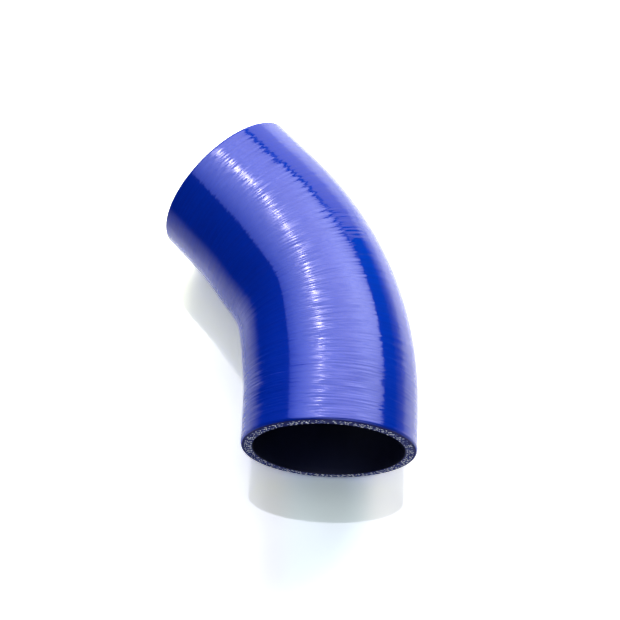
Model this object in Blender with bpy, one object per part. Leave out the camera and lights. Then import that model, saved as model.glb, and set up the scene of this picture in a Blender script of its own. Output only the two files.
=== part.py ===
"""A 45 degree silicone elbow hose, lying on its side as it rests on a bench.

The wall is one solid: skin, fabric plies and liner leave the mandrel bonded
together. All sizes are in metres. The bend lies in the XY plane and bulges
towards +X, the two cut ends look to -Y and +Y, and the hose touches z = 0.
"""

import math

import bmesh
import bpy
from mathutils import Matrix, Vector

# Driving sizes
BORE = 0.063
WALL = 0.005
BEND_ANGLE = math.radians(45.0)
BEND_RADIUS = 0.123
STRAIGHT_END = 0.0225
CUT_EDGE_ROUND = 0.0012

# The inside of the bend isn't a true arc: the plies swell along it and draw in at its middle
INNER_SWELL = 0.0015
INNER_TUCK = 0.0025
TUCK_SPREAD = 0.0185

# Fineness of the mesh
SIDES = 72
BEND_STEPS = 18
END_STEPS = 3
ROUND_SEGMENTS = 3

# Finish
SILICONE_BLUE = (0.004, 0.035, 0.36, 1.0)
SILICONE_ROUGHNESS = 0.16
SHARP_EDGE_ANGLE = math.radians(40.0)

# Worked out from the driving sizes
BORE_RADIUS = BORE / 2
OUTER_RADIUS = BORE_RADIUS + WALL
HALF_BEND = BEND_ANGLE / 2
HALF_ARC = BEND_RADIUS * HALF_BEND
HALF_LENGTH = HALF_ARC + STRAIGHT_END
UP = Vector((0.0, 0.0, 1.0))
BEND_CENTRE = Vector((-BEND_RADIUS, 0.0, OUTER_RADIUS))


def clear_scene():
    """Remove whatever objects the open file holds."""
    for thing in list(bpy.data.objects):
        bpy.data.objects.remove(thing, do_unlink=True)


def outward(angle):
    """Direction away from the bend's centre, at an angle round the bend."""
    return Vector((math.cos(angle), math.sin(angle), 0.0))


def along(angle):
    """Direction in which the hose runs, at an angle round the bend."""
    return Vector((-math.sin(angle), math.cos(angle), 0.0))


def bend_point(angle):
    """Point of the centreline at an angle round the bend."""
    return BEND_CENTRE + outward(angle) * BEND_RADIUS


def draw_cut_end(bm):
    """Draw the flat ring of the first cut end and return its faces."""
    centre = bend_point(-HALF_BEND) - along(-HALF_BEND) * STRAIGHT_END
    turn = Matrix((UP, outward(-HALF_BEND), along(-HALF_BEND))).transposed().to_4x4()
    bmesh.ops.create_circle(
        bm,
        cap_ends=True,
        segments=SIDES,
        radius=OUTER_RADIUS,
        matrix=Matrix.Translation(centre) @ turn,
    )
    disc = list(bm.faces)
    ring = bmesh.ops.inset_region(
        bm,
        faces=disc,
        thickness=WALL * math.cos(math.pi / SIDES),
        use_boundary=True,
        use_even_offset=True,
    )["faces"]
    bmesh.ops.delete(bm, geom=disc, context="FACES_ONLY")
    return ring


def faces_of(items):
    """Pick the faces out of what an operator returned."""
    return [item for item in items if isinstance(item, bmesh.types.BMFace)]


def step_straight(bm, ring, direction):
    """Extrude the ring by one step along a straight end and return the ring that it reaches."""
    grown = bmesh.ops.extrude_face_region(bm, geom=ring)["geom"]
    verts = [item for item in grown if isinstance(item, bmesh.types.BMVert)]
    bmesh.ops.translate(bm, verts=verts, vec=direction * (STRAIGHT_END / END_STEPS))
    return faces_of(grown)


def run_bend(bm, ring):
    """Spin the ring round the bend and return the ring that it reaches."""
    swept = bmesh.ops.spin(
        bm,
        geom=ring,
        cent=BEND_CENTRE,
        axis=UP,
        angle=BEND_ANGLE,
        steps=BEND_STEPS,
    )
    return faces_of(swept["geom_last"])


def sweep_wall(bm):
    """Run the ring from one cut end to the other and return the faces of both cut ends."""
    rings = [draw_cut_end(bm)]
    for _ in range(END_STEPS):
        rings.append(step_straight(bm, rings[-1], along(-HALF_BEND)))
    rings.append(run_bend(bm, rings[-1]))
    for _ in range(END_STEPS):
        rings.append(step_straight(bm, rings[-1], along(HALF_BEND)))
    inside_wall = [face for ring in rings[1:-1] for face in ring]
    bmesh.ops.delete(bm, geom=inside_wall, context="FACES_ONLY")
    return rings[0] + rings[-1]


def place_on_hose(point):
    """Give the length from the hose's middle, the point of the centreline there and its outward."""
    turned = math.atan2(point.y - BEND_CENTRE.y, point.x - BEND_CENTRE.x)
    angle = max(-HALF_BEND, min(HALF_BEND, turned))
    past_bend = (point - bend_point(angle)).dot(along(angle))
    axis_point = bend_point(angle) + along(angle) * past_bend
    return BEND_RADIUS * angle + past_bend, axis_point, outward(angle)


def distance_from_axis(vert):
    """How far a vertex lies from the hose's centreline."""
    _, axis_point, _ = place_on_hose(vert.co)
    return (vert.co - axis_point).length


def round_cut_edges(bm, cut_faces):
    """Round the outer edge of each cut end, where the skin runs over it."""
    edges = {edge for face in cut_faces for edge in face.edges}
    middle_of_wall = BORE_RADIUS + WALL / 2
    outer_edges = [
        edge for edge in edges
        if min(distance_from_axis(vert) for vert in edge.verts) > middle_of_wall
    ]
    bmesh.ops.bevel(
        bm,
        geom=sorted(outer_edges, key=lambda edge: edge.index),
        offset=CUT_EDGE_ROUND,
        offset_type="OFFSET",
        segments=ROUND_SEGMENTS,
        profile=0.5,
        affect="EDGES",
    )


def inner_shift(length):
    """How far the wall stands in towards the bend's centre, at a length from the middle."""
    swell = INNER_SWELL * (1 - (length / HALF_LENGTH) ** 2) ** 2
    tuck = INNER_TUCK * math.exp(-((length / TUCK_SPREAD) ** 2))
    return swell - tuck


def shape_inner_side(bm):
    """Swell and tuck the half of the wall that faces the bend's centre."""
    for vert in bm.verts:
        length, axis_point, outward_here = place_on_hose(vert.co)
        inward = -(vert.co - axis_point).normalized().dot(outward_here)
        if inward > 0:
            vert.co -= outward_here * (inner_shift(length) * inward)


def centre_over_ground(bm):
    """Shift the hose in the plane so that its box is centred on the origin."""
    for axis in (0, 1):
        lowest = min(vert.co[axis] for vert in bm.verts)
        highest = max(vert.co[axis] for vert in bm.verts)
        shift = Vector((0.0, 0.0, 0.0))
        shift[axis] = -(lowest + highest) / 2
        bmesh.ops.translate(bm, verts=bm.verts, vec=shift)


def silicone():
    """Make the blue silicone."""
    material = bpy.data.materials.new("blue_silicone")
    material.use_nodes = True
    shader = material.node_tree.nodes["Principled BSDF"]
    shader.inputs["Base Color"].default_value = SILICONE_BLUE
    shader.inputs["Roughness"].default_value = SILICONE_ROUGHNESS
    shader.inputs["Metallic"].default_value = 0.0
    return material


def build_hose():
    """Model the hose as one solid."""
    bm = bmesh.new()
    cut_faces = sweep_wall(bm)
    bm.edges.index_update()
    round_cut_edges(bm, cut_faces)
    shape_inner_side(bm)
    centre_over_ground(bm)
    bmesh.ops.recalc_face_normals(bm, faces=bm.faces)

    mesh = bpy.data.meshes.new("hose")
    bm.to_mesh(mesh)
    bm.free()
    mesh.shade_smooth()
    mesh.set_sharp_from_angle(angle=SHARP_EDGE_ANGLE)
    mesh.materials.append(silicone())
    hose = bpy.data.objects.new("hose", mesh)
    bpy.context.collection.objects.link(hose)
    return hose


clear_scene()
build_hose()
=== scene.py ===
"""Looks of a 45 degree silicone elbow hose, lying on its side on a pale studio floor.

The hose is one moulded wall. A glossy blue skin runs over it, ribbed by the tape
that held it while it cured. The two knife-cut ends show the fabric plies, and a
smooth liner of dark navy runs through the bore, its colour darkened near black as
painted shade. Sizes are in metres, in the frame of the part. Only the finishes of
the hose count its radius and length in millimetres.
"""

import logging
import math
from dataclasses import dataclass
from enum import Enum
from typing import Iterable, Union

import bmesh
import bpy
import numpy as np
from mathutils import Euler, Matrix, Vector


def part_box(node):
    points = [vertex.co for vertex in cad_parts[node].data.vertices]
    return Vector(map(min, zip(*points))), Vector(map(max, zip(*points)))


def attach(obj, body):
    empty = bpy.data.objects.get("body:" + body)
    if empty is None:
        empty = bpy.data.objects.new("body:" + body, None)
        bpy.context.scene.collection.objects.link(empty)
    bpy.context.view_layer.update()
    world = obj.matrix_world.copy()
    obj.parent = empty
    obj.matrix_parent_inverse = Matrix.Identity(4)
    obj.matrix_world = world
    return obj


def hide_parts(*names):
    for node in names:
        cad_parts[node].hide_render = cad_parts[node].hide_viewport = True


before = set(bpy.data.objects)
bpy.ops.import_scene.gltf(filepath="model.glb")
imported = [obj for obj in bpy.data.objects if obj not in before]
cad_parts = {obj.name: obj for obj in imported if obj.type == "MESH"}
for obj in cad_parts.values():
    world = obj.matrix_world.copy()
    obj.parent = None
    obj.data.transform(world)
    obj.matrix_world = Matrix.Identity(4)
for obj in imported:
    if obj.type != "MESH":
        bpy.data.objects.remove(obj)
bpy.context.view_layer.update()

LOG = logging.getLogger("elbow_hose")
UP = Vector((0.0, 0.0, 1.0))
MILLIMETRE = 0.001
QUARTER_TURN = math.pi / 2
FULL_TURN = 2 * math.pi
WHITE = (1.0, 1.0, 1.0, 1.0)
PLACE_ATTRIBUTE = "place_on_hose"
ALONG_ATTRIBUTE = "along_hose"

Socket = bpy.types.NodeSocket
Sockets = bpy.types.bpy_prop_collection
Value = Union[bpy.types.NodeSocket, float, tuple]


class Surface(Enum):
    """The three surfaces of the wall, by their place in the material list."""

    SKIN = 0
    CUT = 1
    LINER = 2


def deselect_everything() -> None:
    """Leave no object selected, so that the next operator acts on its own mesh only."""
    if bpy.context.mode != "OBJECT":
        bpy.ops.object.mode_set(mode="OBJECT")
    bpy.ops.object.select_all(action="DESELECT")


def ripple(
    rng: np.random.Generator, at: np.ndarray, spacing: float, reach: float
) -> np.ndarray:
    """Give smooth random values between -1 and 1 along a line.

    Args:
        rng: Source of the random values.
        at: Places on the line.
        spacing: Distance between two random values.
        reach: The line runs from minus this to plus this.

    Returns:
        One value for each place.
    """
    knots = rng.uniform(-1.0, 1.0, int(2 * reach / spacing) + 4)
    place = (np.clip(at, -reach, reach) + reach) / spacing
    low = np.floor(place).astype(int)
    share = place - low
    share = share * share * (3 - 2 * share)
    return knots[low] * (1 - share) + knots[low + 1] * share


@dataclass(frozen=True)
class HoseRun:
    """The line and the section that the hose follows.

    The bend lies in the XY plane and bulges towards +X.
    """

    bore_radius: float = 0.0315
    wall: float = 0.005
    bend_angle: float = math.radians(45.0)
    bend_radius: float = 0.123
    straight_end: float = 0.0225
    inner_swell: float = 0.0015
    inner_tuck: float = 0.0025
    tuck_spread: float = 0.0185

    @property
    def outer_radius(self) -> float:
        """Radius of the skin."""
        return self.bore_radius + self.wall

    @property
    def half_bend(self) -> float:
        """Half of the bend's angle."""
        return self.bend_angle / 2

    @property
    def half_length(self) -> float:
        """Length of the centreline from its middle to a cut end."""
        return self.bend_radius * self.half_bend + self.straight_end

    @property
    def bend_centre(self) -> Vector:
        """Centre that the bend turns about, from where the CAD solid lies."""
        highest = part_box("hose")[1]
        across = highest.x - self.bend_radius - self.outer_radius
        return Vector((across, 0.0, self.outer_radius))

    def outward(self, angle: float) -> Vector:
        """Direction away from the bend's centre, at an angle round the bend."""
        return Vector((math.cos(angle), math.sin(angle), 0.0))

    def along(self, angle: float) -> Vector:
        """Direction in which the hose runs, at an angle round the bend."""
        return Vector((-math.sin(angle), math.cos(angle), 0.0))

    def bend_point(self, angle: float) -> Vector:
        """Point of the centreline at an angle round the bend."""
        return self.bend_centre + self.outward(angle) * self.bend_radius

    def end_centre(self, side: int) -> Vector:
        """Centre of a cut end: side is -1 for the end at -Y and 1 for the one at +Y."""
        angle = side * self.half_bend
        return self.bend_point(angle) + self.along(angle) * (side * self.straight_end)

    def place(self, points: np.ndarray) -> tuple[np.ndarray, ...]:
        """Find where points are on the hose.

        Args:
            points: Points, one a row.

        Returns:
            Length from the middle of the hose, point of the centreline, direction
            outward there, and the offsets outward and up from the centreline.
        """
        centre = np.array(self.bend_centre)
        turned = np.arctan2(points[:, 1] - centre[1], points[:, 0] - centre[0])
        angle = np.clip(turned, -self.half_bend, self.half_bend)
        outward = np.stack([np.cos(angle), np.sin(angle), np.zeros_like(angle)], 1)
        along = np.stack([-np.sin(angle), np.cos(angle), np.zeros_like(angle)], 1)
        on_bend = centre + outward * self.bend_radius
        past = ((points - on_bend) * along).sum(1)
        axis_point = on_bend + along * past[:, None]
        offset = points - axis_point
        across = (offset * outward).sum(1)
        return self.bend_radius * angle + past, axis_point, outward, across, offset[:, 2]

    def inner_shift(self, length: np.ndarray) -> np.ndarray:
        """How far the wall stands in towards the bend's centre, at a length from the middle."""
        swell = self.inner_swell * (1 - (length / self.half_length) ** 2) ** 2
        tuck = self.inner_tuck * np.exp(-((length / self.tuck_spread) ** 2))
        return swell - tuck


@dataclass(frozen=True)
class SkinPoints:
    """Points of the skin: their length from the middle of the hose and angle round the section.

    The length runs from minus to plus the reach.
    """

    length: np.ndarray
    angle: np.ndarray
    reach: float


@dataclass(frozen=True)
class WrapMarks:
    """Ribs that the turns of the curing tape left round the skin."""

    pitch: float = 0.0032
    depth: float = 0.000034
    skew: float = 0.6
    fine_pitch: float = 0.0014
    fine_depth: float = 0.000012
    drift: float = 0.35
    drift_turns: float = 2.3
    waver: float = 0.22
    waver_length: float = 0.009
    waver_waves: tuple = (1, 2, 3, 5)
    mean_height: float = 0.60
    height_spread: float = 0.40
    height_limits: tuple = (0.08, 1.3)
    patch_share: float = 0.28
    patch_turns: float = 1.5
    patch_waves: tuple = (2, 4, 7)
    swell_depth: float = 0.000020
    swell_length: float = 0.008
    tight_at: float = -0.010
    tight_reach: float = 0.028
    tight_share: float = 0.36
    flat_end: float = -0.050
    flat_run: float = 0.016
    flat_share: float = 0.60
    fade_at_cut: float = 0.0008
    seed: int = 7

    def _turns(self, rng: np.random.Generator, skin: SkinPoints, pitch: float) -> np.ndarray:
        """Count the turns of a tape up to each point. The tape wavers, and its pitch isn't even."""
        turns = skin.length / pitch + skin.angle / FULL_TURN
        turns = turns + self.drift * ripple(rng, skin.length, self.drift_turns * pitch, skin.reach)
        for waves in self.waver_waves:
            start = rng.uniform(0, FULL_TURN)
            sway = ripple(rng, skin.length, self.waver_length / math.sqrt(waves), skin.reach)
            turns = turns + self.waver / waves * sway * np.cos(waves * skin.angle + start)
        return turns

    def _heights(self, rng: np.random.Generator, skin: SkinPoints, pitch: float) -> np.ndarray:
        """Say how strong the ribs are at each point, as a share of their depth."""
        height = self.mean_height + self.height_spread * ripple(rng, skin.length, pitch, skin.reach)
        for waves in self.patch_waves:
            start = rng.uniform(0, FULL_TURN)
            patch = ripple(rng, skin.length, self.patch_turns * pitch, skin.reach)
            height = height + self.patch_share * patch * np.cos(waves * skin.angle + start)
        return np.clip(height, *self.height_limits)

    def _ribs(
        self, rng: np.random.Generator, skin: SkinPoints, pitch: float, skew: float
    ) -> np.ndarray:
        """Shape the ribs of one tape, from 0 on a crest up. Skew makes one flank steeper."""
        turned = FULL_TURN * self._turns(rng, skin, pitch)
        rib = 0.5 - 0.5 * np.cos(turned + skew * np.sin(turned))
        return rib * self._heights(rng, skin, pitch)

    def relief(self, skin: SkinPoints) -> np.ndarray:
        """Give how far the skin lies below its crests, from zero up."""
        rng = np.random.default_rng(self.seed)
        rib = self._ribs(rng, skin, self.pitch, self.skew)
        fine = self._ribs(rng, skin, self.fine_pitch, 0.0)
        broad = 0.5 + 0.5 * ripple(rng, skin.length, self.swell_length, skin.reach)
        fade = np.clip((skin.reach - np.abs(skin.length)) / self.fade_at_cut, 0, 1)
        tight = np.exp(-(((skin.length - self.tight_at) / self.tight_reach) ** 2))
        pull = 1 - self.tight_share + 2 * self.tight_share * tight
        flat = 1 - np.clip((skin.length - self.flat_end) / self.flat_run, 0, 1)
        pull = pull * (1 - self.flat_share * flat)
        ribs = pull * (self.depth * rib + self.fine_depth * fine)
        return (ribs + self.swell_depth * broad) * fade


@dataclass(frozen=True)
class Silicone:
    """The cured skin: a deep, glossy blue.

    A run is a stretch of the hose over which something changes. The tilt is how
    strongly the fine rings lean the skin along the hose.
    """

    name: str = "blue_silicone_skin"
    blue: tuple = (0.0012, 0.033, 0.515, 1.0)
    deep_blue: tuple = (0.0006, 0.022, 0.400, 1.0)
    deeper_by_grain: float = 0.3
    deeper_by_rings: float = 0.5
    gloss: float = 0.06
    dull: float = 0.11
    worn_end: float = 0.02
    worn_run: tuple = (-46.0, -34.0)
    ior: float = 1.5
    mirror_level: float = 0.875
    mirror_tint: tuple = (0.64, 0.66, 1.0, 1.0)
    ring_stretch: tuple = (0.06, 1.25, 0.06)
    ring_roughness: float = 0.45
    ring_limits: tuple = (0.35, 0.65)
    tilt: float = 0.36
    tilt_at_back: float = 0.22
    back_run: tuple = (34.0, 56.0)
    added_at_front: float = 0.46
    front_run: tuple = (-48.0, -30.0)
    calm_before_middle: float = 0.14
    calm_at: float = -18.0
    calm_run: tuple = (5.0, 15.0)
    calm_on_outer_side: float = 0.55
    outer_side: tuple = (0.45, 0.80)
    calmest_run: tuple = (-12.0, 6.0)
    calm_ahead: float = 0.9
    grain_size: float = 420.0
    grain_strength: float = 0.25
    grain_depth: float = 0.01 * MILLIMETRE


@dataclass(frozen=True)
class CutPlies:
    """The knife-cut face: navy silicone with rows of cut threads."""

    name: str = "cut_fabric_plies"
    navy: tuple = (0.012, 0.018, 0.150, 1.0)
    thread: tuple = (0.024, 0.038, 0.18, 1.0)
    faint_thread: tuple = (0.15, 0.15, 0.15, 1.0)
    middle_radius: float = 34.0
    first_row: float = 32.2
    row_step: float = 0.82
    row_wander: float = 1.1
    wander_size: float = 0.35
    thread_length: float = 1.7
    gap: float = 0.26
    gap_softness: float = 0.7
    fuzz_size: float = 2.2
    fuzz_detail: float = 4.0
    fuzz_limits: tuple = (0.38, 0.62, 0.15, 1.0)
    inner_edge: tuple = (31.75, 32.0)
    outer_edge: tuple = (35.2, 35.6)
    thread_height: float = 0.8
    relief_depth: float = 0.08 * MILLIMETRE
    relief_strength: float = 0.8
    dullness: tuple = (0.55, 0.7)
    shine: float = 0.08
    grain_size: float = 900.0


@dataclass(frozen=True)
class Yarn:
    """The pale fibres of the fabric, some of them coated in navy silicone."""

    name: str = "cut_yarn"
    pale: tuple = (0.84, 0.90, 1.0, 1.0)
    coated: tuple = (0.09, 0.13, 0.40, 1.0)
    coat_size: float = 700.0
    coat_limits: tuple = (0.50, 0.61)
    dullness: tuple = (0.6, 0.8)
    shine: float = 0.2
    fur_size: float = 2600.0
    fur_depth: float = 0.05 * MILLIMETRE


@dataclass(frozen=True)
class Liner:
    """The smooth inside of the bore, dark navy darkened near black as painted shade of the deep bore,
    with faint marks where the mandrel was drawn out.
    """

    name: str = "liner_with_painted_shade"
    # Painted shade: the liner's own dark navy is darkened to near black for the shade deep in the bore.
    tint: tuple = (0.0060, 0.0090, 0.040, 1.0)
    darker_share: float = 0.6
    mark_stretch: tuple = (1.2, 0.03, 1.2)
    mark_limits: tuple = (0.3, 0.7)
    dullness: tuple = (0.38, 0.44)
    shine: float = 0.25
    grain_size: float = 300.0
    grain_strength: float = 0.4
    grain_depth: float = 0.008 * MILLIMETRE


@dataclass(frozen=True)
class Grain:
    """The fine grain of moulded rubber, and the broad patches that shade it."""

    size: float = 600.0
    strength: float = 1.0
    detail: float = 4.0
    patch_scale: float = 0.12
    patch_detail: float = 3.0
    patch_limits: tuple = (0.3, 0.7)


class Wiring:
    """Adds and joins the nodes of one material, world or group."""

    def __init__(self, tree: bpy.types.NodeTree) -> None:
        """Take the tree to work on."""
        self.tree = tree

    def feed(self, node: bpy.types.Node, values: dict) -> None:
        """Give a node its inputs.

        Args:
            node: The node.
            values: What each input gets, by its name or number: a number, a colour
                or the output that feeds it.
        """
        for key, value in values.items():
            if isinstance(value, Socket):
                self.tree.links.new(value, node.inputs[key])
            else:
                node.inputs[key].default_value = value

    def node(self, kind: str, values: dict | None = None, **settings: object) -> bpy.types.Node:
        """Add a node.

        Args:
            kind: Blender's name of the node type.
            values: Its inputs, as feed takes them.
            settings: Properties of the node.

        Returns:
            The node.
        """
        made = self.tree.nodes.new(kind)
        for key, value in settings.items():
            setattr(made, key, value)
        self.feed(made, values or {})
        return made

    def sum(self, operation: str, *inputs: Value) -> Socket:
        """Work out one value with a Math node and return its output."""
        return self.node("ShaderNodeMath", dict(enumerate(inputs)), operation=operation).outputs[0]

    def vector(self, operation: str, inputs: dict) -> Socket:
        """Work out one vector with a Vector Math node and return its output."""
        return self.node("ShaderNodeVectorMath", inputs, operation=operation).outputs[0]

    def length(self, vector: Socket) -> Socket:
        """Work out how long a vector is and return the output."""
        return self.node("ShaderNodeVectorMath", {0: vector}, operation="LENGTH").outputs["Value"]

    def mix(self, share: Value, first: Value, second: Value) -> Socket:
        """Mix two colours and return the output."""
        made = self.node("ShaderNodeMix", {0: share, 6: first, 7: second}, data_type="RGBA")
        return made.outputs[2]

    def ramp(
        self, value: Socket, low: float, high: float, start: float = 0.0, end: float = 1.0
    ) -> Socket:
        """Map a value smoothly from one range to another and return the output."""
        inputs = {0: value, 1: low, 2: high, 3: start, 4: end}
        return self.node("ShaderNodeMapRange", inputs, interpolation_type="SMOOTHSTEP").outputs[0]

    def noise(self, place: Socket, scale: Value, detail: float, roughness: float = 0.5) -> Socket:
        """Spread smooth noise over places and return its value."""
        inputs = {"Vector": place, "Scale": scale, "Detail": detail, "Roughness": roughness}
        return self.node("ShaderNodeTexNoise", inputs).outputs[0]

    def stretch(self, place: Socket, scale: tuple) -> Socket:
        """Scale places by its own share along each axis and return them."""
        return self.node("ShaderNodeMapping", {"Vector": place, "Scale": scale}).outputs[0]

    def bump(self, height: Socket, depth: float, **inputs: Value) -> Socket:
        """Turn a height into a normal and return it. The depth is in metres."""
        return self.node("ShaderNodeBump", {"Height": height, "Distance": depth} | inputs).outputs[0]

    def object_place(self) -> Socket:
        """Return the place on the object."""
        return self.node("ShaderNodeTexCoord").outputs["Object"]

    def apart(self, vector: Socket) -> Sockets:
        """Take a vector apart and return its X, Y and Z."""
        return self.node("ShaderNodeSeparateXYZ", {0: vector}).outputs


def group_tree(name: str, inputs: dict, outputs: dict) -> tuple[Wiring, Sockets, bpy.types.Node]:
    """Start a node group.

    Args:
        name: Name of the group.
        inputs: Default of each number that goes in, by its name.
        outputs: Kind of each output, by its name.

    Returns:
        The wiring of the group, the outputs of its input node by name, and its
        output node.
    """
    tree = bpy.data.node_groups.new(name, "ShaderNodeTree")
    for label, default in inputs.items():
        socket = tree.interface.new_socket(label, in_out="INPUT", socket_type="NodeSocketFloat")
        socket.default_value = default
    for label, kind in outputs.items():
        tree.interface.new_socket(label, in_out="OUTPUT", socket_type=f"NodeSocket{kind}")
    wiring = Wiring(tree)
    entry = wiring.node("NodeGroupInput")
    leave = wiring.node("NodeGroupOutput")
    return wiring, entry.outputs, leave


def start_material(name: str) -> tuple[bpy.types.Material, Wiring, bpy.types.Node]:
    """Start a material and return it with its wiring and its shader."""
    material = bpy.data.materials.new(name)
    material.use_nodes = True
    return material, Wiring(material.node_tree), material.node_tree.nodes["Principled BSDF"]


class Finishes:
    """Makes the node groups that the materials share, and the materials."""

    def __init__(self) -> None:
        """Build the shared groups once."""
        self.hose_place = self._hose_place_group()
        self.grain = self._grain_group(Grain())

    def _hose_place_group(self) -> bpy.types.NodeTree:
        """Build the group that says where on the hose a point of the surface is."""
        outputs = {
            "Radius": "Float",
            "Angle": "Float",
            "Length": "Float",
            "Round": "Vector",
            "Along": "Vector",
        }
        wiring, _, leave = group_tree("hose_place", {}, outputs)
        place, along = (
            wiring.node("ShaderNodeAttribute", attribute_name=name).outputs["Vector"]
            for name in (PLACE_ATTRIBUTE, ALONG_ATTRIBUTE)
        )
        outward, length, up = wiring.apart(place)
        squares = wiring.sum("ADD", wiring.sum("POWER", outward, 2.0), wiring.sum("POWER", up, 2.0))
        radius = wiring.sum("SQRT", squares)
        angle = wiring.sum("ARCTAN2", up, outward)
        wiring.feed(leave, dict(zip(outputs, (radius, angle, length, place, along))))
        return wiring.tree

    def _grain_group(self, grain: Grain) -> bpy.types.NodeTree:
        """Build the group for the fine grain of moulded rubber."""
        inputs = {"Size": grain.size, "Strength": grain.strength}
        wiring, entry, leave = group_tree("rubber_grain", inputs, {"Mask": "Float", "Height": "Float"})
        place = wiring.object_place()
        fine = wiring.noise(place, entry["Size"], grain.detail)
        patch_size = wiring.sum("MULTIPLY", entry["Size"], grain.patch_scale)
        patches = wiring.noise(place, patch_size, grain.patch_detail)
        patches = wiring.ramp(patches, *grain.patch_limits)
        height = wiring.sum("MULTIPLY", fine, entry["Strength"])
        wiring.feed(leave, {"Mask": patches, "Height": height})
        return wiring.tree

    def _place(self, wiring: Wiring) -> Sockets:
        """Put the group for the place on the hose in a material and return its outputs."""
        return wiring.node("ShaderNodeGroup", node_tree=self.hose_place).outputs

    def _grain(self, wiring: Wiring, size: float, strength: float = 1.0) -> Sockets:
        """Put the group for the grain in a material with its own values and return its outputs."""
        made = wiring.node("ShaderNodeGroup", node_tree=self.grain)
        wiring.feed(made, {"Size": size, "Strength": strength})
        return made.outputs

    def _tilt(self, wiring: Wiring, finish: Silicone, place: Sockets) -> Socket:
        """Say how strongly the fine rings lean the skin, at each place on the hose."""
        length = place["Length"]
        back = wiring.ramp(length, *finish.back_run, finish.tilt, finish.tilt_at_back)
        front = wiring.ramp(length, *finish.front_run, finish.added_at_front, 0.0)
        off_calm = wiring.sum("ABSOLUTE", wiring.sum("SUBTRACT", length, finish.calm_at))
        calm = wiring.ramp(off_calm, *finish.calm_run, finish.calm_before_middle, 0.0)
        tilt = wiring.sum("SUBTRACT", wiring.sum("ADD", back, front), calm)
        outer = wiring.ramp(place["Angle"], *finish.outer_side, 0.0, finish.calm_on_outer_side)
        calmest = wiring.ramp(length, *finish.calmest_run, finish.calm_ahead, 1.0)
        kept = wiring.sum("SUBTRACT", 1.0, wiring.sum("MULTIPLY", outer, calmest))
        return wiring.sum("MULTIPLY", tilt, kept)

    def skin(self, finish: Silicone) -> bpy.types.Material:
        """Dress the skin: gloss broken by fine rings that run round the hose."""
        material, wiring, shader = start_material(finish.name)
        place = self._place(wiring)
        grain = self._grain(wiring, finish.grain_size, finish.grain_strength)
        ring_place = wiring.stretch(place["Round"], finish.ring_stretch)
        rings = wiring.noise(ring_place, 1.0, 2.0, finish.ring_roughness)
        streaks = wiring.ramp(rings, *finish.ring_limits)
        deeper = wiring.sum("MULTIPLY", streaks, finish.deeper_by_rings)
        deeper = wiring.sum("MULTIPLY_ADD", grain["Mask"], finish.deeper_by_grain, deeper)
        roughness = wiring.ramp(streaks, 0.0, 1.0, finish.gloss, finish.dull)
        worn = wiring.ramp(place["Length"], *finish.worn_run, finish.worn_end, 0.0)
        tilt = self._tilt(wiring, finish, place)
        slope = wiring.sum("MULTIPLY", wiring.sum("SUBTRACT", rings, 0.5), tilt)
        lean = wiring.vector("SCALE", {0: place["Along"], 3: slope})
        normal = wiring.node("ShaderNodeNewGeometry").outputs["Normal"]
        tilted = wiring.vector("NORMALIZE", {0: wiring.vector("ADD", {0: normal, 1: lean})})
        values = {
            "Base Color": wiring.mix(deeper, finish.blue, finish.deep_blue),
            "Roughness": wiring.sum("ADD", roughness, worn),
            "Normal": wiring.bump(grain["Height"], finish.grain_depth, Normal=tilted),
            "IOR": finish.ior,
            "Specular IOR Level": finish.mirror_level,
            "Specular Tint": finish.mirror_tint,
        }
        wiring.feed(shader, values)
        return material

    def _thread_rows(self, wiring: Wiring, finish: CutPlies, place: Sockets) -> Socket:
        """Lay rows of threads round the cut face and return how much of a thread shows."""
        arc = wiring.sum("MULTIPLY", place["Angle"], finish.middle_radius)
        wander = wiring.noise(place["Round"], finish.wander_size, 2.0)
        wander = wiring.sum("MULTIPLY_ADD", wander, finish.row_wander, -finish.row_wander / 2)
        depth = wiring.sum("SUBTRACT", place["Radius"], finish.first_row)
        depth = wiring.sum("ADD", depth, wander)
        values = {
            "Vector": wiring.node("ShaderNodeCombineXYZ", {0: arc, 1: depth}).outputs[0],
            "Color1": WHITE,
            "Color2": finish.faint_thread,
            "Mortar": (0.0, 0.0, 0.0, 1.0),
            "Scale": 1.0,
            "Mortar Size": finish.gap,
            "Mortar Smooth": finish.gap_softness,
            "Bias": 0.0,
            "Brick Width": finish.thread_length,
            "Row Height": finish.row_step,
        }
        threads = wiring.node("ShaderNodeTexBrick", values, offset=0.5).outputs[0]
        shade = wiring.node("ShaderNodeSeparateColor", {0: threads}).outputs[0]
        fuzz = wiring.noise(place["Round"], finish.fuzz_size, finish.fuzz_detail)
        shade = wiring.sum("MULTIPLY", shade, wiring.ramp(fuzz, *finish.fuzz_limits))
        inner = wiring.ramp(place["Radius"], *finish.inner_edge)
        outer = wiring.ramp(place["Radius"], *finish.outer_edge, 1.0, 0.0)
        return wiring.sum("MULTIPLY", shade, wiring.sum("MULTIPLY", inner, outer))

    def cut_face(self, finish: CutPlies) -> bpy.types.Material:
        """Dress the cut ends: rows of cut threads in navy silicone."""
        material, wiring, shader = start_material(finish.name)
        grain = self._grain(wiring, finish.grain_size)
        rows = self._thread_rows(wiring, finish, self._place(wiring))
        height = wiring.sum("MULTIPLY", rows, finish.thread_height)
        height = wiring.sum("ADD", height, grain["Height"])
        values = {
            "Base Color": wiring.mix(rows, finish.navy, finish.thread),
            "Roughness": wiring.ramp(grain["Mask"], 0.0, 1.0, *finish.dullness),
            "Normal": wiring.bump(height, finish.relief_depth, Strength=finish.relief_strength),
            "Specular IOR Level": finish.shine,
        }
        wiring.feed(shader, values)
        return material

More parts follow.
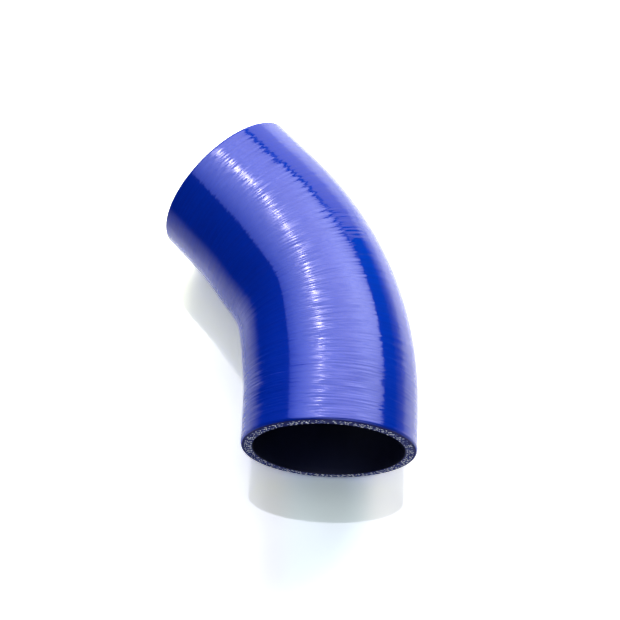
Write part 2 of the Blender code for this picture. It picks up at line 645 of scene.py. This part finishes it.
    def yarn(self, finish: Yarn) -> bpy.types.Material:
        """Dress the thread ends: each is paler or darker than the next, and furry."""
        material, wiring, shader = start_material(finish.name)
        fur = self._grain(wiring, finish.fur_size)
        coat = wiring.noise(wiring.object_place(), finish.coat_size, 1.0)
        coat = wiring.ramp(coat, *finish.coat_limits)
        values = {
            "Base Color": wiring.mix(coat, finish.pale, finish.coated),
            "Roughness": wiring.ramp(fur["Mask"], 0.0, 1.0, *finish.dullness),
            "Normal": wiring.bump(fur["Height"], finish.fur_depth),
            "Specular IOR Level": finish.shine,
        }
        wiring.feed(shader, values)
        return material

    def liner(self, finish: Liner) -> bpy.types.Material:
        """Dress the bore: smooth silicone with faint marks of the mandrel, its dark navy darkened near
        black as painted shade of the deep bore.
        """
        material, wiring, shader = start_material(finish.name)
        mark_place = wiring.stretch(self._place(wiring)["Round"], finish.mark_stretch)
        grain = self._grain(wiring, finish.grain_size, finish.grain_strength)
        marks = wiring.noise(mark_place, 1.0, 2.0)
        darker = (*[finish.darker_share * part for part in finish.tint[:3]], 1.0)
        height = wiring.sum("ADD", marks, grain["Height"])
        values = {
            # Painted shade: the near-black colour stands for the shade deep in the bore, over the
            # liner's own dark navy.
            "Base Color": wiring.mix(grain["Mask"], finish.tint, darker),
            "Roughness": wiring.ramp(marks, *finish.mark_limits, *finish.dullness),
            "Normal": wiring.bump(height, finish.grain_depth),
            "Specular IOR Level": finish.shine,
        }
        wiring.feed(shader, values)
        return material


@dataclass
class ElbowHose:
    """The moulded hose: its mesh, the marks on it and its three surfaces."""

    run: HoseRun
    marks: WrapMarks
    sides: int = 120
    edge_round: float = 0.00124
    lip_round: float = 0.00035
    round_steps: int = 5
    cut_rings: int = 5
    skin_straight_steps: int = 43
    skin_bend_steps: int = 184
    bore_straight_steps: int = 8
    bore_bend_steps: int = 48
    merge_distance: float = 0.01 * MILLIMETRE
    skin_slack: float = 0.05 * MILLIMETRE
    shortest_step: float = 0.1 * MILLIMETRE
    cut_starts: float = 0.5
    skin_starts: float = 0.40
    crease: float = math.radians(60.0)

    def _cut_profile(self) -> list[tuple[float, float]]:
        """Radius and distance in from the cut of each ring, from the bore to the skin."""
        bore, outer = self.run.bore_radius, self.run.outer_radius
        lip_round, edge_round = self.lip_round, self.edge_round
        turns = [QUARTER_TURN * step / self.round_steps for step in range(self.round_steps + 1)]
        lip = [
            (bore + lip_round * (1 - math.cos(turn)), lip_round * (1 - math.sin(turn)))
            for turn in turns
        ]
        low, high = bore + lip_round, outer - edge_round
        flat = [(low + (high - low) * step / self.cut_rings, 0.0) for step in range(1, self.cut_rings)]
        edge = [
            (outer - edge_round * (1 - math.sin(turn)), edge_round * (1 - math.cos(turn)))
            for turn in turns
        ]
        return lip + flat + edge

    def _grow(self, side: int, profile: list[tuple[float, float]]) -> None:
        """Extrude the selected ring over the rest of a profile.

        Args:
            side: Cut end that the ring is near, -1 or 1.
            profile: Radius and distance in from the cut, of the ring and of each next one.
        """
        inward = self.run.along(side * self.run.half_bend) * -side
        mesh = bpy.context.object.data
        for (radius, depth), (new_radius, new_depth) in zip(profile, profile[1:]):
            step = inward * (new_depth - depth)
            bpy.ops.mesh.extrude_region_move(TRANSFORM_OT_translate={"value": step})
            bm = bmesh.from_edit_mesh(mesh)
            ring = [vert.co for vert in bm.verts if vert.select]
            centre = sum(ring, Vector()) / len(ring)
            scale = new_radius / radius
            bpy.ops.transform.resize(value=(scale, scale, scale), center_override=centre)

    def _sweep(self, side: int, depth: float, straight_steps: int, bend_steps: int) -> None:
        """Run the selected ring from near one cut end to the same place near the other.

        Args:
            side: Cut end that it starts from, -1 or 1.
            depth: How far in from the cut it is.
            straight_steps: Steps along each straight end.
            bend_steps: Steps round the bend.
        """
        angle = side * self.run.half_bend
        run = (self.run.straight_end - depth) / straight_steps
        first = self.run.along(angle) * (-side * run)
        bpy.ops.mesh.extrude_repeat(steps=straight_steps, offset=first, scale_offset=1.0)
        bpy.ops.mesh.spin(
            steps=bend_steps,
            angle=side * self.run.bend_angle,
            center=self.run.bend_centre,
            axis=UP,
        )
        second = self.run.along(-angle) * (-side * run)
        bpy.ops.mesh.extrude_repeat(steps=straight_steps, offset=second, scale_offset=1.0)

    def _sweep_wall(self) -> bpy.types.Object:
        """Draw the lip of the bore, and sweep it over the cut face, the skin and the bore."""
        deselect_everything()
        angle = -self.run.half_bend
        turn = Matrix((UP, self.run.outward(angle), self.run.along(angle))).transposed()
        profile = self._cut_profile()
        radius, depth = profile[0]
        bpy.ops.mesh.primitive_circle_add(
            vertices=self.sides,
            radius=radius,
            fill_type="NOTHING",
            location=self.run.end_centre(-1) + self.run.along(angle) * depth,
            rotation=turn.to_euler(),
        )
        hose = bpy.context.object
        hose.name = hose.data.name = "elbow"
        bpy.ops.object.transform_apply(location=True, rotation=True, scale=True)
        bpy.ops.object.mode_set(mode="EDIT")
        bpy.ops.mesh.select_mode(type="VERT")
        bpy.ops.mesh.select_all(action="SELECT")
        self._grow(-1, profile)
        self._sweep(-1, profile[-1][1], self.skin_straight_steps, self.skin_bend_steps)
        self._grow(1, profile[::-1])
        self._sweep(1, depth, self.bore_straight_steps, self.bore_bend_steps)
        bpy.ops.mesh.select_all(action="SELECT")
        bpy.ops.mesh.remove_doubles(threshold=self.merge_distance)
        self._split_skin_rings()
        bpy.ops.mesh.select_all(action="SELECT")
        bpy.ops.mesh.normals_make_consistent(inside=False)
        bpy.ops.object.mode_set(mode="OBJECT")
        return hose

    def _split_skin_rings(self) -> None:
        """Put one more ring between each two of the skin, so that the ribs are smooth."""
        bpy.ops.mesh.select_mode(type="EDGE")
        bpy.ops.mesh.select_all(action="DESELECT")
        bm = bmesh.from_edit_mesh(bpy.context.object.data)
        points = np.array([vert.co for vert in bm.verts])
        length, _, _, across, up = self.run.place(points)
        skin = np.hypot(across, up) > self.run.outer_radius - self.skin_slack
        for edge in bm.edges:
            first, second = edge.verts[0].index, edge.verts[1].index
            runs_along = abs(length[first] - length[second]) > self.shortest_step
            edge.select_set(bool(skin[first] and skin[second] and runs_along))
        bmesh.update_edit_mesh(bpy.context.object.data)
        bpy.ops.mesh.subdivide(number_cuts=1)

    def _shape(self, hose: bpy.types.Object) -> None:
        """Swell and tuck the inner side of the bend, and press the ribs into the skin."""
        mesh = hose.data
        points = np.empty(len(mesh.vertices) * 3)
        mesh.vertices.foreach_get("co", points)
        length, axis_point, outward, across, up = self.run.place(points.reshape(-1, 3))
        radius = np.hypot(across, up)
        angle = np.arctan2(across, up)
        skin = radius > self.run.outer_radius - self.skin_slack
        relief = self.marks.relief(SkinPoints(length, angle, self.run.half_length))
        new_radius = np.where(skin, self.run.outer_radius - relief, radius)
        direction = outward * np.sin(angle)[:, None]
        direction[:, 2] = np.cos(angle)
        points = axis_point + direction * new_radius[:, None]
        inward = np.maximum(-np.sin(angle), 0.0)
        points -= outward * (self.run.inner_shift(length) * inward)[:, None]
        mesh.vertices.foreach_set("co", points.ravel())
        place = np.stack([radius * np.cos(angle), length, radius * np.sin(angle)], 1)
        along = np.stack([-outward[:, 1], outward[:, 0], np.zeros_like(length)], 1)
        for name, vectors in ((PLACE_ATTRIBUTE, place / MILLIMETRE), (ALONG_ATTRIBUTE, along)):
            attribute = mesh.attributes.new(name, "FLOAT_VECTOR", "POINT")
            attribute.data.foreach_set("vector", vectors.ravel())
        mesh.update()

    def _dress(self, hose: bpy.types.Object, finishes: Finishes) -> None:
        """Give each face the material of its surface, and smooth the mesh."""
        mesh = hose.data
        mesh.materials.append(finishes.skin(Silicone()))
        mesh.materials.append(finishes.cut_face(CutPlies()))
        mesh.materials.append(finishes.liner(Liner()))
        places = np.empty(len(mesh.vertices) * 3)
        mesh.attributes[PLACE_ATTRIBUTE].data.foreach_get("vector", places)
        places = places.reshape(-1, 3)
        radius = np.hypot(places[:, 0], places[:, 2])
        flat_low = (self.run.bore_radius + self.lip_round * self.cut_starts) / MILLIMETRE
        flat_high = (self.run.outer_radius - self.edge_round * self.skin_starts) / MILLIMETRE
        for face in mesh.polygons:
            middle = sum(radius[index] for index in face.vertices) / len(face.vertices)
            if middle < flat_low:
                face.material_index = Surface.LINER.value
            elif middle < flat_high:
                face.material_index = Surface.CUT.value
            else:
                face.material_index = Surface.SKIN.value
        deselect_everything()
        hose.select_set(True)
        bpy.context.view_layer.objects.active = hose
        bpy.ops.object.shade_smooth_by_angle(angle=self.crease)

    def build(self, finishes: Finishes) -> bpy.types.Object:
        """Make the hose and set it in the frame in place of its CAD solid."""
        hose = self._sweep_wall()
        self._shape(hose)
        self._dress(hose, finishes)
        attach(hose, "root")
        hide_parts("hose")
        return hose


@dataclass
class ThreadEnds:
    """The cut ends of the fabric's threads, which stand a hair proud of both cut faces."""

    run: HoseRun
    rows: tuple = (0.03225, 0.03305, 0.03385, 0.03465)
    row_spread: float = 0.00010
    pitch: float = 0.0023
    pitch_spread: float = 0.14
    half_length: float = 0.00088
    length_range: tuple = (0.55, 1.1)
    half_width: float = 0.00025
    width_range: tuple = (0.75, 1.0)
    proud: float = 0.00014
    lean: float = math.radians(28.0)
    lean_spread: float = 0.2
    missing: float = 0.06
    seed: int = 3

    def _one_end(self) -> bpy.types.Object:
        """Model one thread end as a small lozenge, long along X."""
        deselect_everything()
        bpy.ops.mesh.primitive_ico_sphere_add(subdivisions=1, radius=self.half_width)
        end = bpy.context.object
        bpy.ops.object.mode_set(mode="EDIT")
        bpy.ops.mesh.select_all(action="SELECT")
        stretch = self.half_length / self.half_width
        bpy.ops.transform.resize(value=(stretch, 1.0, 1.0), center_override=(0.0, 0.0, 0.0))
        bpy.ops.object.mode_set(mode="OBJECT")
        bpy.ops.object.shade_smooth()
        return end

    def _places(self, side: int, rng: np.random.Generator) -> Iterable[Matrix]:
        """Say where the thread ends of one cut face go.

        Args:
            side: Cut face, -1 or 1.
            rng: Source of the uneven spacing.

        Yields:
            The place, the turn and the size of each thread end.
        """
        angle = side * self.run.half_bend
        outward = self.run.outward(angle)
        normal = self.run.along(angle) * side
        sunk = self.run.end_centre(side) + normal * (self.proud - self.half_width)
        for row, radius in enumerate(self.rows):
            count = round(FULL_TURN * radius / self.pitch)
            for number in range(count):
                if rng.random() < self.missing:
                    continue
                step = number + 0.5 * (row % 2) + rng.normal(0.0, self.pitch_spread)
                turn = FULL_TURN * step / count
                radial = UP * math.cos(turn) + outward * math.sin(turn)
                tangent = outward * math.cos(turn) - UP * math.sin(turn)
                lean = self.lean * (-1) ** (number + row) + rng.normal(0.0, self.lean_spread)
                long_way = tangent * math.cos(lean) + radial * math.sin(lean)
                across = normal.cross(long_way)
                spot = sunk + radial * (radius + rng.normal(0.0, self.row_spread))
                size = (rng.uniform(*self.length_range), rng.uniform(*self.width_range), 1.0)
                turned = Matrix((long_way, across, normal)).transposed() @ Matrix.Diagonal(size)
                yield Matrix.Translation(spot) @ turned.to_4x4()

    def build(self, finishes: Finishes) -> bpy.types.Object:
        """Model one end, copy it round both cut faces and join the copies."""
        end = self._one_end()
        end.data.materials.append(finishes.yarn(Yarn()))
        rng = np.random.default_rng(self.seed)
        copies = []
        for side in (-1, 1):
            for place in self._places(side, rng):
                copy = end.copy()
                copy.matrix_world = place
                bpy.context.collection.objects.link(copy)
                copies.append(copy)
        bpy.data.objects.remove(end, do_unlink=True)
        deselect_everything()
        for copy in copies:
            copy.select_set(True)
        threads = copies[0]
        bpy.context.view_layer.objects.active = threads
        bpy.ops.object.join()
        bpy.ops.object.transform_apply(location=True, rotation=True, scale=True)
        threads.name = threads.data.name = "cut_threads"
        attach(threads, "root")
        return threads


@dataclass(frozen=True)
class Glow:
    """Brightness of a card: colours at places along X, dimmed along Y.

    Each stop of a ramp is its place and its red, green and blue, or one number for
    all three. The tubes behind a card show as faint waves along Y.
    """

    stops: tuple
    y_stops: tuple = ((-1.0, 1.0), (1.0, 1.0))
    adds_to_behind: bool = False
    tube_pitch: float = 0.15
    tube_share: float = 0.0

    def _ramp(self, wiring: Wiring, value: Socket, stops: tuple) -> Socket:
        """Lay the stops out on a colour ramp and return its colour."""
        low, high = stops[0][0], stops[-1][0]
        share = wiring.node("ShaderNodeMapRange", {0: value, 1: low, 2: high}).outputs[0]
        made = wiring.node("ShaderNodeValToRGB", {0: share})
        elements = made.color_ramp.elements
        while len(elements) < len(stops):
            elements.new(0.5)
        peak = max(max(stop[1:]) for stop in stops) or 1.0
        for element, (place, *parts) in zip(elements, stops):
            element.position = (place - low) / (high - low)
            parts = parts * 3 if len(parts) == 1 else parts
            element.color = (*[part / peak for part in parts], 1.0)
        return wiring.vector("SCALE", {0: made.outputs[0], 3: peak})

    def material(self, name: str) -> bpy.types.Material:
        """Make the glowing material of a card."""
        material, wiring, _ = start_material(name)
        material.node_tree.nodes.clear()
        parts = wiring.apart(wiring.object_place())
        colour = self._ramp(wiring, parts[0], self.stops)
        dimming = self._ramp(wiring, parts[1], self.y_stops)
        colour = wiring.vector("MULTIPLY", {0: colour, 1: dimming})
        wave = wiring.sum("SINE", wiring.sum("MULTIPLY", parts[1], FULL_TURN / self.tube_pitch))
        tubes = wiring.sum("MULTIPLY_ADD", wave, self.tube_share, 1.0)
        colour = wiring.vector("SCALE", {0: colour, 3: tubes})
        glow = wiring.node("ShaderNodeEmission", {"Color": colour, "Strength": 1.0})
        if self.adds_to_behind:
            clear = wiring.node("ShaderNodeBsdfTransparent")
            glow = wiring.node("ShaderNodeAddShader", {0: glow.outputs[0], 1: clear.outputs[0]})
        wiring.node("ShaderNodeOutputMaterial", {0: glow.outputs[0]})
        return material


def show_in_gloss_only(thing: bpy.types.Object) -> None:
    """Stage an object, and let only mirrored rays meet it."""
    for ray in ("camera", "diffuse", "shadow", "transmission", "volume_scatter"):
        setattr(thing, f"visible_{ray}", False)


@dataclass(frozen=True)
class Card:
    """A flat card that shows only in the gloss of the hose and the floor.

    Across, deep and high are its lowest and highest X, Y and Z, or one value where
    the two are the same.
    """

    name: str
    across: tuple
    deep: tuple
    high: tuple
    glow: Glow

    def build(self) -> bpy.types.Object:
        """Make the card as a staged mesh."""
        deselect_everything()
        bpy.ops.mesh.primitive_plane_add(size=1.0)
        card = bpy.context.object
        card.name = card.data.name = self.name
        left, right = self.across
        low, high = zip(*(size if len(size) == 2 else size * 2 for size in (self.deep, self.high)))
        corners = ((left, *low), (right, *low), (left, *high), (right, *high))
        for vert, corner in zip(card.data.vertices, corners):
            vert.co = corner
        card.data.materials.append(self.glow.material(self.name))
        show_in_gloss_only(card)
        return card


@dataclass(frozen=True)
class Lamp:
    """A soft rectangular lamp. It lights surfaces, and the cards stand for it in their gloss.

    Its level is the share of its full light that a white surface facing it sends
    back, so that the levels of all lamps add up to a little over 1.
    """

    name: str
    place: tuple
    width: float
    height: float
    level: float

    def build(self) -> bpy.types.Object:
        """Hang the lamp so that it faces the hose."""
        data = bpy.data.lights.new(self.name, "AREA")
        data.shape = "RECTANGLE"
        data.size = self.width
        data.size_y = self.height
        place = Vector(self.place)
        data.energy = self.level * math.pi**2 * place.length_squared
        lamp = bpy.data.objects.new(self.name, data)
        bpy.context.collection.objects.link(lamp)
        lamp.location = place
        lamp.rotation_euler = place.to_track_quat("Z", "Y").to_euler()
        lamp.visible_glossy = False
        return lamp


@dataclass(frozen=True)
class PaleFloor:
    """The glossy pale floor. The camera and the gloss of the hose each see it at its own level.
    Near the hose, both levels are painted: painted shade and painted light tint and reshape the
    hose's shadow for the camera, and a painted pool of light shows in the hose's gloss.

    A direction is its X and Y. A pair of places is where something starts to change
    and where it has changed, measured along a direction.
    """

    half: float = 4.0
    gloss: float = 0.04
    ior: float = 1.8
    white: float = 0.82
    white_from: tuple = (0.28, 0.75)
    along_cut: tuple = (0.94, -0.34)
    off_cut: tuple = (0.34, 0.94)
    # Camera level of the floor; near the hose, painted shade dims it to the right of the open end, and
    # painted shadow tints colour it within tint_ends.
    in_view: float = 2.0
    painted_shade_level: float = 1.4
    bright_side: tuple = (0.032, 0.048)
    painted_tint_before_opening: tuple = (1.02, 1.13, 1.13, 1.0)
    opening_middle: float = 0.013
    opening_flank: tuple = (0.010, 0.024)
    painted_tint_far_before_opening: tuple = (1.0, 1.0, 0.97, 1.0)
    painted_tint_beside_opening: tuple = (1.0, 1.0, 0.87, 1.0)
    opening: tuple = (-0.079, -0.069)
    painted_tint_beside_bend: tuple = (1.33, 1.33, 1.0, 1.0)
    bend: tuple = (-0.045, 0.0)
    tint_ends: tuple = (0.10, 0.16)
    # Painted light: levels of a pool of light on the floor and of a faint band further right, seen only
    # in the hose's gloss.
    in_gloss: float = 1.8
    painted_pool_slant: tuple = (0.79, -0.62)
    painted_pool_fades: tuple = (0.0, 0.31)
    painted_pool_starts: tuple = (-0.28, 0.06)
    painted_far_light_in_gloss: float = 0.40
    far_starts: tuple = (0.05, 0.25)
    far_ends: tuple = (0.6, 1.6)

    def _measure(self, wiring: Wiring, parts: Sockets, direction: tuple) -> Socket:
        """Work out how far along a direction a place on the floor lies."""
        across = wiring.sum("MULTIPLY", parts[0], direction[0])
        return wiring.sum("MULTIPLY_ADD", parts[1], direction[1], across)

    def _in_view(self, wiring: Wiring, parts: Sockets) -> Socket:
        """Shade the floor as the camera sees it, with painted shade and painted light in the hose's
        shadow: cool before the open end, less blue beside it, lighter and less violet beside the bend,
        and less bright to the right of the open end.
        """
        across = self._measure(wiring, parts, self.along_cut)
        # Painted shade: the floor is made less bright to the right of the open end, so that the hose's
        # shadow shows there.
        level = wiring.ramp(across, *self.bright_side, self.in_view, self.painted_shade_level)
        # Painted shadow tints: cool before the open end, less blue beside it, lighter and less violet
        # beside the bend.
        off_middle = wiring.sum("ABSOLUTE", wiring.sum("SUBTRACT", across, self.opening_middle))
        flank = wiring.ramp(off_middle, *self.opening_flank)
        near_opening = wiring.ramp(self._measure(wiring, parts, self.off_cut), *self.opening)
        beside = wiring.mix(near_opening, self.painted_tint_far_before_opening, self.painted_tint_beside_opening)
        front = wiring.mix(flank, self.painted_tint_before_opening, beside)
        tint = wiring.mix(wiring.ramp(parts[1], *self.bend), front, self.painted_tint_beside_bend)
        place = wiring.node("ShaderNodeCombineXYZ", {0: parts[0], 1: parts[1]}).outputs[0]
        tint = wiring.mix(wiring.ramp(wiring.length(place), *self.tint_ends), tint, WHITE)
        return wiring.vector("SCALE", {0: tint, 3: level})

    def _out_of_view(
        self, wiring: Wiring, parts: Sockets, rays: Sockets
    ) -> Socket:
        """Shade the floor as it lights the hose, and paint the light that the hose's gloss sees on it:
        a painted pool of light near the hose that fades out to the left and with distance, and a faint
        painted band further right.
        """
        # Painted light: a pool of light near the hose, darkening to the left, seen only in the hose's
        # gloss.
        painted_light_pool = wiring.ramp(
            self._measure(wiring, parts, self.painted_pool_slant), *self.painted_pool_fades, self.in_gloss, 0.0
        )
        painted_light_pool = wiring.sum("MULTIPLY", painted_light_pool, wiring.ramp(parts[0], *self.painted_pool_starts))
        far = wiring.ramp(parts[0], *self.far_starts, 0.0, self.painted_far_light_in_gloss)
        far = wiring.sum("MULTIPLY", far, wiring.ramp(parts[0], *self.far_ends, 1.0, 0.0))
        painted_light_pool = wiring.sum("ADD", painted_light_pool, far)
        values = {0: rays["Is Glossy Ray"], 2: self.white, 3: painted_light_pool}
        level = wiring.node("ShaderNodeMix", values).outputs[0]
        return wiring.node("ShaderNodeCombineColor", {0: level, 1: level, 2: level}).outputs[0]

    def build(self) -> bpy.types.Object:
        """Lay the floor. It fades to white far from the hose."""
        deselect_everything()
        bpy.ops.mesh.primitive_plane_add(size=2 * self.half)
        floor = bpy.context.object
        floor.name = floor.data.name = "floor"
        material, wiring, shader = start_material("pale_floor")
        place = wiring.object_place()
        parts = wiring.apart(place)
        rays = wiring.node("ShaderNodeLightPath").outputs
        unseen = self._out_of_view(wiring, parts, rays)
        colour = wiring.mix(rays["Is Camera Ray"], unseen, self._in_view(wiring, parts))
        wiring.feed(shader, {"Base Color": colour, "Roughness": self.gloss, "IOR": self.ior})
        seen = wiring.sum("MAXIMUM", rays["Is Camera Ray"], rays["Is Transmission Ray"])
        far = wiring.ramp(wiring.length(place), *self.white_from)
        fade = wiring.sum("MULTIPLY", seen, far)
        glow = wiring.node("ShaderNodeEmission", {"Strength": 1.0}).outputs[0]
        shown = wiring.node("ShaderNodeMixShader", {0: fade, 1: shader.outputs[0], 2: glow})
        wiring.feed(material.node_tree.nodes["Material Output"], {"Surface": shown.outputs[0]})
        floor.data.materials.append(material)
        return floor


@dataclass(frozen=True)
class Studio:
    """The pale floor, the soft light over it and the dark surround."""

    floor: PaleFloor = PaleFloor()
    softbox: Card = Card(
        "softbox",
        (-1.06, 2.9),
        (-0.45, 1.37),
        (1.0,),
        Glow(
            (
                (-1.06, 0.85, 1.05, 2.20), (-0.80, 1.30, 1.60, 3.00), (-0.50, 2.30, 2.60, 4.00),
                (-0.20, 3.50, 3.65, 4.70), (0.50, 4.60, 4.50, 5.00), (1.10, 5.90, 5.90, 6.10),
                (1.80, 5.20, 5.20, 5.40), (2.90, 3.20, 3.20, 3.50),
            ),
            (
                (-0.45, 0.48), (0.00, 0.72), (0.30, 0.90), (0.52, 1.00), (0.80, 0.86),
                (1.00, 0.72), (1.37, 0.45),
            ),
            tube_share=0.16,
        ),
    )
    backdrop: Card = Card(
        "backdrop",
        (-0.75, 2.3),
        (1.3,),
        (0.0, 0.75),
        Glow(((0.0, 1.55), (1.2, 1.45), (2.3, 1.05))),
    )
    front_card: Card = Card(
        "front_card",
        (-1.4, 1.3),
        (-1.7,),
        (0.25, 1.5),
        Glow(((-1.4, 0.0), (-0.7, 1.3), (0.6, 1.3), (1.3, 0.0))),
    )
    hot_strip: Card = Card(
        "hot_strip",
        (-0.40, 0.40),
        (-0.035, 0.09),
        (0.0,),
        Glow(
            (
                (-0.40, 0.0), (-0.25, 1.2, 1.1, 0.9), (-0.12, 7.0, 6.2, 5.0),
                (-0.07, 16.0, 14.3, 11.5), (-0.03, 32.0, 28.5, 23.0), (0.0, 37.0, 32.6, 26.2),
                (0.03, 32.0, 28.5, 23.0), (0.07, 14.5, 12.9, 10.4), (0.12, 6.5, 5.8, 4.7),
                (0.25, 2.6, 2.3, 2.0), (0.40, 0.0),
            ),
            (
                (-0.035, 0.0), (-0.016, 0.9), (0.0, 1.0), (0.014, 0.6), (0.035, 0.36),
                (0.07, 0.15), (0.09, 0.0),
            ),
            adds_to_behind=True,
        ),
    )
    hot_middle: tuple = (-0.060, 0.458, 0.99)
    dome_radius: float = 4.2
    dome_segments: int = 48
    dome_rings: int = 24
    dome_glow: Glow = Glow(
        ((-4.2, 0.0), (0.4, 0.0), (1.6, 0.0, 0.18, 0.25), (4.2, 0.0, 0.30, 0.40)),
        ((-4.2, 0.0), (0.3, 0.35), (2.0, 1.0), (4.2, 1.0)),
    )
    air_fill: tuple = (0.25, 0.265, 0.275, 1.0)
    lamps: tuple = (
        Lamp("key_lamp", (1.0, 1.3, 1.1), 2.0, 1.6, 1.20),
        Lamp("top_lamp", (0.0, 0.5, 1.2), 2.2, 1.6, 0.22),
        Lamp("back_lamp", (-0.9, 0.9, 0.9), 1.4, 1.2, 0.12),
    )
    thread_lamp: Lamp = Lamp("thread_lamp", (-0.4, -1.1, 0.7), 0.5, 0.5, 0.40)

    def build(self, hose: bpy.types.Object, threads: bpy.types.Object) -> None:
        """Set up the floor, the lights, the cards and the world round the hose and its threads."""
        self.floor.build()
        for card in (self.softbox, self.backdrop, self.front_card):
            card.build()
        self._hot_strip(hose)
        self._dark_dome()
        for lamp in self.lamps:
            lamp.build()
        self._shine_only_on(self.thread_lamp.build(), threads)
        self._world()

    def _hot_strip(self, hose: bpy.types.Object) -> None:
        """Hang the bright middle of the softbox. Its highlight runs along the hose, and only there."""
        strip = self.hot_strip.build()
        strip.location = self.hot_middle
        self._shine_only_on(strip, hose)

    def _shine_only_on(self, source: bpy.types.Object, target: bpy.types.Object) -> None:
        """Let a lamp or a card light one piece and nothing else."""
        lit = bpy.data.collections.new(f"lit_by_{source.name}")
        lit.objects.link(target)
        source.light_linking.receiver_collection = lit

    def _dark_dome(self) -> None:
        """Close the studio with a dark dome."""
        deselect_everything()
        bpy.ops.mesh.primitive_uv_sphere_add(
            segments=self.dome_segments, ring_count=self.dome_rings, radius=self.dome_radius
        )
        dome = bpy.context.object
        dome.name = dome.data.name = "dark_dome"
        dome.data.materials.append(self.dome_glow.material("dark_dome"))
        show_in_gloss_only(dome)

    def _world(self) -> None:
        """Fill the shadows a little, and show white behind everything."""
        world = bpy.data.worlds.new("studio_air")
        bpy.context.scene.world = world
        world.use_nodes = True
        world.node_tree.nodes.clear()
        wiring = Wiring(world.node_tree)
        rays = wiring.node("ShaderNodeLightPath").outputs
        seen = wiring.sum("MAXIMUM", rays["Is Camera Ray"], rays["Is Glossy Ray"])
        seen = wiring.sum("MAXIMUM", seen, rays["Is Transmission Ray"])
        colour = wiring.mix(seen, self.air_fill, WHITE)
        sky = wiring.node("ShaderNodeBackground", {"Color": colour, "Strength": 1.0})
        wiring.node("ShaderNodeOutputWorld", {0: sky.outputs[0]})


@dataclass(frozen=True)
class PhotoCamera:
    """The camera at the photograph's place, angle and framing."""

    location: tuple = (-0.074877, -0.216127, 0.503848)
    turn_degrees: tuple = (25.763, -0.362, -19.678)
    focal_length: float = 69.208
    sensor_width: float = 36.0
    nearest: float = 0.01

    def build(self) -> bpy.types.Object:
        """Make the camera and give it to the scene."""
        data = bpy.data.cameras.new("photo_camera")
        data.lens = self.focal_length
        data.sensor_width = self.sensor_width
        data.clip_start = self.nearest
        camera = bpy.data.objects.new("photo_camera", data)
        bpy.context.collection.objects.link(camera)
        camera.location = self.location
        camera.rotation_euler = Euler([math.radians(turn) for turn in self.turn_degrees], "XYZ")
        bpy.context.scene.camera = camera
        return camera


def main() -> None:
    """Build the camera, the studio and the hose, and report each piece."""
    logging.basicConfig(level=logging.INFO, format="%(name)s: %(message)s")
    bpy.context.scene.view_settings.view_transform = "Standard"
    PhotoCamera().build()
    finishes = Finishes()
    hose = ElbowHose(HoseRun(), WrapMarks()).build(finishes)
    threads = ThreadEnds(HoseRun()).build(finishes)
    Studio().build(hose, threads)
    for piece in (hose, threads):
        piece.data.calc_loop_triangles()
        LOG.info("%s: %d triangles", piece.name, len(piece.data.loop_triangles))


if __name__ == "__main__":
    main()
